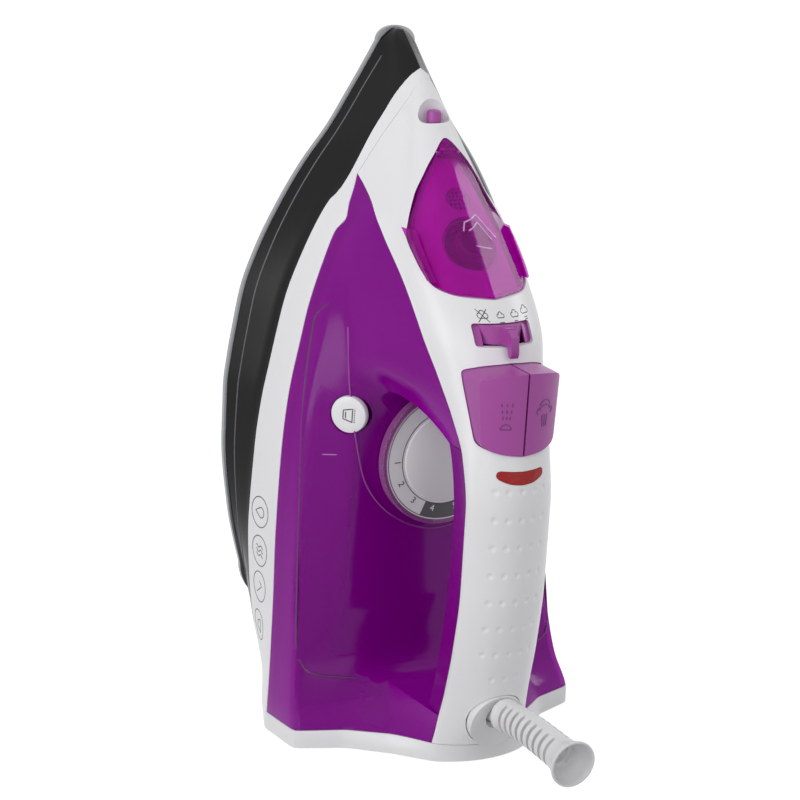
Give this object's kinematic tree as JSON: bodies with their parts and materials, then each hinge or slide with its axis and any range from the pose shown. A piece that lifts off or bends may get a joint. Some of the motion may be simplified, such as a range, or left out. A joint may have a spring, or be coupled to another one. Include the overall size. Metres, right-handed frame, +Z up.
{
  "type": "steam iron",
  "caption": "Upright steam iron standing on its heel, with a clear water tank under an open handle, thumb buttons, a fold-out filling door, a dial under the handle and a cord guard.",
  "frame": {"origin": "centre of the bounding box's bottom, on the surface that the heel stands on", "axes": "+Z up, from the heel towards the nose; the ironing face looks towards +Y, leaning 7 degrees; the handle and the cord guard are on the -Y side; X runs across the iron"},
  "size_m": [0.1342, 0.1728, 0.2736],
  "materials": {
    "alloy": "matte",
    "black": "gloss",
    "brass": "satin",
    "clear": "gloss",
    "grey_plastic": "matte",
    "guard_white": "satin",
    "heater": "satin",
    "hose": "satin",
    "label": "satin",
    "lamp": "gloss",
    "magenta_clear": "gloss",
    "purple": "satin",
    "purple_clear": "gloss",
    "red": "gloss",
    "screw_steel": "satin",
    "seal": "matte",
    "sole": "satin",
    "spring_steel": "satin",
    "white": "satin",
    "wire_white": "satin"
  },
  "bodies": {
    "iron": {"body_shell": "white", "chamber_gasket": "seal", "clean_spring": "spring_steel", "cover_screws": "screw_steel", "door_hinge_pin": "screw_steel", "drip_tube": "brass", "filler_tray": "white", "handle_shell": "white", "handle_underside": "purple", "heat_shield": "black", "heating_element": "heater", "heel_cover": "white", "heel_screws": "screw_steel", "indicator_lamp": "lamp", "indicator_lens": "red", "inlet_seal": "seal", "inlet_strainer": "grey_plastic", "soleplate": "sole", "spray_hose": "hose", "spray_nozzle": "purple", "spray_pump": "grey_plastic", "spray_spring": "spring_steel", "steam_chamber_cover": "alloy", "steam_pump": "grey_plastic", "steam_spring": "spring_steel", "steam_tube": "hose", "terminal_block": "grey_plastic", "thermal_fuse": "wire_white", "thermostat": "brass", "valve_seat": "seal", "water_tank": "purple_clear", "wires": "wire_white"},
    "door": {"fill_door": "magenta_clear"},
    "lever": {"steam_lever": "purple"},
    "valve": {"valve_rod": "brass"},
    "spray_key": {"spray_button": "purple", "spray_piston": "grey_plastic"},
    "steam_key": {"steam_button": "purple", "steam_piston": "grey_plastic"},
    "dial": {"dial_knob": "clear", "dial_label": "label", "dial_shaft": "white"},
    "clean_key": {"self_clean_button": "white"},
    "swivel": {"cord_swivel": "white"},
    "guard": {"cord_guard": "guard_white"}
  },
  "joints": [
    {"name": "door_hinge", "type": "hinge", "parent": "iron", "child": "door", "pos_m": [0, 0.01121, 0.22638], "axis": [-1, 0, 0], "range_deg": [0, 60]},
    {"name": "lever_turn", "type": "hinge", "parent": "iron", "child": "lever", "pos_m": [0, -0.02497, 0.16462], "axis": [0, -0.1219, 0.9925], "range_deg": [-20, 20]},
    {"name": "valve_lift", "type": "slide", "parent": "iron", "child": "valve", "axis": [0, -0.9925, -0.1219], "range_m": [-0.0015, 0.0015]},
    {"name": "spray_press", "type": "slide", "parent": "iron", "child": "spray_key", "axis": [0, 0.9925, 0.1219], "range_m": [0, 0.004], "stiffness_N_per_m": 500, "springref_m": -0.002, "deforming": ["spray_spring"]},
    {"name": "steam_press", "type": "slide", "parent": "iron", "child": "steam_key", "axis": [0, 0.9925, 0.1219], "range_m": [0, 0.004], "stiffness_N_per_m": 500, "springref_m": -0.002, "deforming": ["steam_spring"]},
    {"name": "dial_turn", "type": "hinge", "parent": "iron", "child": "dial", "pos_m": [0, 0.01074, 0.11017], "axis": [0, -0.9925, -0.1219], "range_deg": [-135, 135]},
    {"name": "clean_press", "type": "slide", "parent": "iron", "child": "clean_key", "axis": [0.7408, 0.6667, 0.0819], "range_m": [0, 0.003], "stiffness_N_per_m": 500, "springref_m": -0.002, "deforming": ["clean_spring"]},
    {"name": "swivel_turn", "type": "hinge", "parent": "iron", "child": "swivel", "pos_m": [0, -0.03004, 0.017], "axis": [0, -0.9472, -0.3207], "range_deg": [-170, 170]},
    {"name": "guard_tilt", "type": "hinge", "parent": "swivel", "child": "guard", "pos_m": [0, -0.02588, 0.02094], "axis": [1, 0, 0], "range_deg": [-10, 10]}
  ],
  "couplings": [
    {"joint": "lever_turn", "follows": "valve_lift", "rad_per_m": 232.7}
  ]
}
